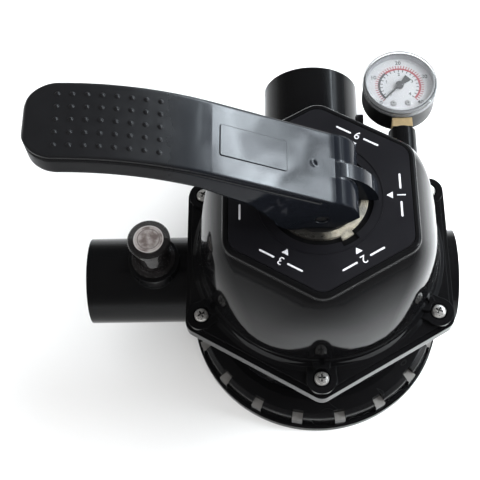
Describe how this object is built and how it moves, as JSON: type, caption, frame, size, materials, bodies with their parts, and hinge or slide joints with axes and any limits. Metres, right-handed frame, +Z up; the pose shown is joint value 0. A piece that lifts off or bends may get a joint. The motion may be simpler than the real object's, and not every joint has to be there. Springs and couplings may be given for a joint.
{
  "type": "multiport valve",
  "caption": "Top-mount pool filter valve with hexagonal dome lid, lever handle, three pipe sockets, sight glass, pressure gauge and collar nut.",
  "frame": {"origin": "mouth of the central standpipe socket, on the valve's axis, in the plane of the collar nut's lower rim", "axes": "+Z up the valve's axis towards the handle, -X out of the side port, +Y out of the rear port"},
  "size_m": [0.259, 0.2575, 0.2845],
  "materials": {
    "black_abs": "glossy moulded black ABS",
    "handle_abs": "satin charcoal ABS, glossier on the arm",
    "dial_label": "matte charcoal with white print",
    "acetal": "cream acetal",
    "rotor_abs": "moulded",
    "stainless": "bright",
    "brass": "machined",
    "seal_rubber": "matt",
    "clear_plastic": "clear",
    "gauge_white": "printed white",
    "needle_black": "painted"
  },
  "bodies": {
    "valve": {"valve_body": "black_abs", "lid": "black_abs", "label_plate": "dial_label", "hub_washer": "acetal", "cam_plate": "black_abs", "lid_screws": "stainless", "screw_inserts": "brass", "lid_oring": "seal_rubber", "neck_oring": "seal_rubber", "spider_gasket": "seal_rubber", "sight_glass": "clear_plastic", "sight_glass_oring": "seal_rubber", "gauge_case": "black_abs", "gauge_lens": "clear_plastic", "gauge_dial": "gauge_white", "gauge_stem": "brass", "gauge_stem_seal": "seal_rubber", "gauge_movement": "brass", "bourdon_tube": "brass"},
    "spring_pack": {"rotor_spring": "stainless", "spring_thrust_washer": "acetal"},
    "rotor_group": {"rotor": "rotor_abs", "rotor_stem": "rotor_abs", "stem_orings": "seal_rubber", "handle_pin": "stainless"},
    "lever": {"handle": "handle_abs"},
    "collar": {"collar_nut": "black_abs"},
    "needle": {"gauge_needle": "needle_black"}
  },
  "joints": [
    {"name": "selector_turn", "type": "hinge", "parent": "valve", "child": "spring_pack", "pos_m": [0, 0, 0.19], "axis": [0, 0, 1], "continuous": true},
    {"name": "rotor_lift", "type": "slide", "parent": "spring_pack", "child": "rotor_group", "axis": [0, 0, 1], "range_m": [0, 0.0056], "stiffness_N_per_m": 3000, "springref_m": -0.02, "deforming": ["rotor_spring"]},
    {"name": "handle_press", "type": "hinge", "parent": "rotor_group", "child": "lever", "pos_m": [0, 0, 0.204], "axis": [0, -1, 0], "range_deg": [0, 20.1]},
    {"name": "collar_turn", "type": "hinge", "parent": "valve", "child": "collar", "pos_m": [0, 0, 0.01], "axis": [0, 0, 1], "continuous": true},
    {"name": "gauge_needle_turn", "type": "hinge", "parent": "valve", "child": "needle", "pos_m": [0.0565, 0.0946, 0.169], "axis": [0, 0, -1], "range_deg": [0, 270], "stiffness_Nm_per_rad": 0.0001, "springref_deg": -28.65}
  ],
  "couplings": [
    {"joint": "handle_press", "follows": "rotor_lift", "rad_per_m": 62.5}
  ]
}
